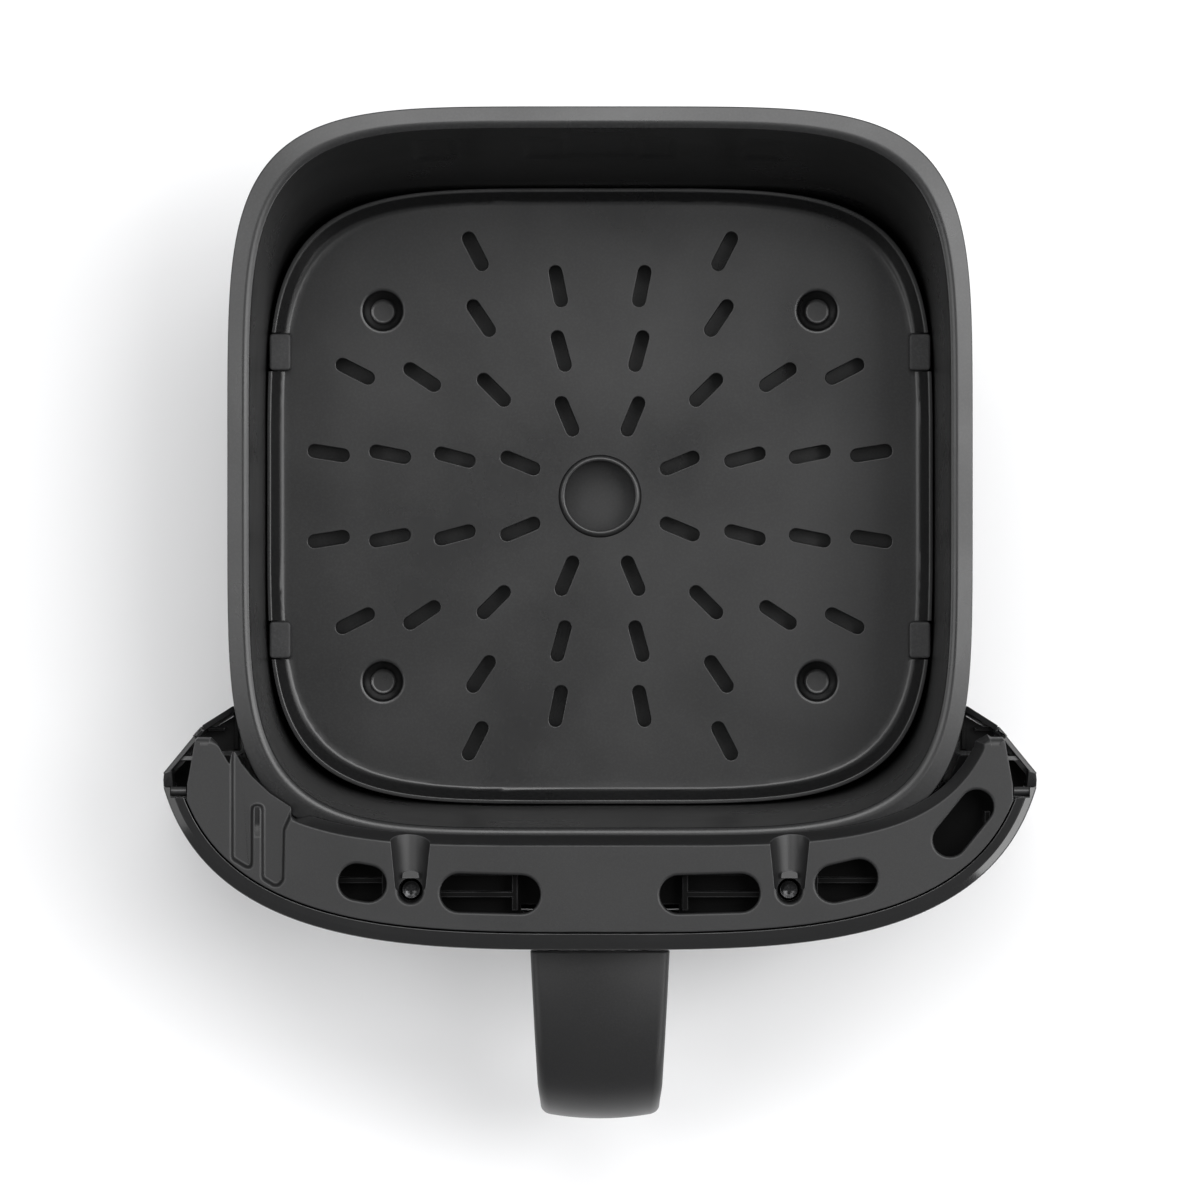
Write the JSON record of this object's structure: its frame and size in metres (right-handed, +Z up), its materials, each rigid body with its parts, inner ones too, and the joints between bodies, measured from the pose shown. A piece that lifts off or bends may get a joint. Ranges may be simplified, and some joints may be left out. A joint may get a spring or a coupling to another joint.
{
  "type": "air fryer drawer",
  "caption": "Square non-stick air fryer drawer with a lift-out crisper plate, a curved plastic front housing with vent slots, and a down-curved handle.",
  "frame": {"origin": "middle of the flat underside of the pan, which the drawer stands on", "axes": "+Z up, -Y towards the handle, +X to the right of a person who holds the handle and looks down into the pan"},
  "size_m": [0.2646, 0.3091, 0.118],
  "materials": {
    "nonstick": "glossy near-black non-stick coating",
    "silicone": "matt dark grey silicone",
    "sheet_steel": "plain rolled sheet",
    "frame_plastic": "matt dark grey moulded plastic",
    "cover_plastic": "satin charcoal with a fine moulded texture",
    "fascia_plastic": "semi-gloss charcoal",
    "screw_steel": "zinc-plated"
  },
  "bodies": {
    "drawer": {"pan": "nonstick", "pan_bracket": "sheet_steel", "heat_shield": "sheet_steel", "inner_frame": "frame_plastic", "top_cover": "cover_plastic", "front_fascia": "fascia_plastic", "base_cover": "frame_plastic", "left_end_cap": "frame_plastic", "right_end_cap": "frame_plastic", "housing_screw_left": "screw_steel", "housing_screw_right": "screw_steel", "handle_outer_shell": "fascia_plastic", "handle_inner_shell": "frame_plastic", "handle_core": "sheet_steel", "handle_screw_left": "screw_steel", "handle_screw_right": "screw_steel", "base_screw_left": "screw_steel", "base_screw_middle": "screw_steel", "base_screw_right": "screw_steel"},
    "crisper": {"crisper_plate": "nonstick", "plate_bumper_left_front": "silicone", "plate_bumper_left_back": "silicone", "plate_bumper_right_front": "silicone", "plate_bumper_right_back": "silicone"}
  },
  "joints": [
    {"name": "plate_lift", "type": "slide", "parent": "drawer", "child": "crisper", "axis": [0, 0, 1], "range_m": [0, 0.12]}
  ]
}
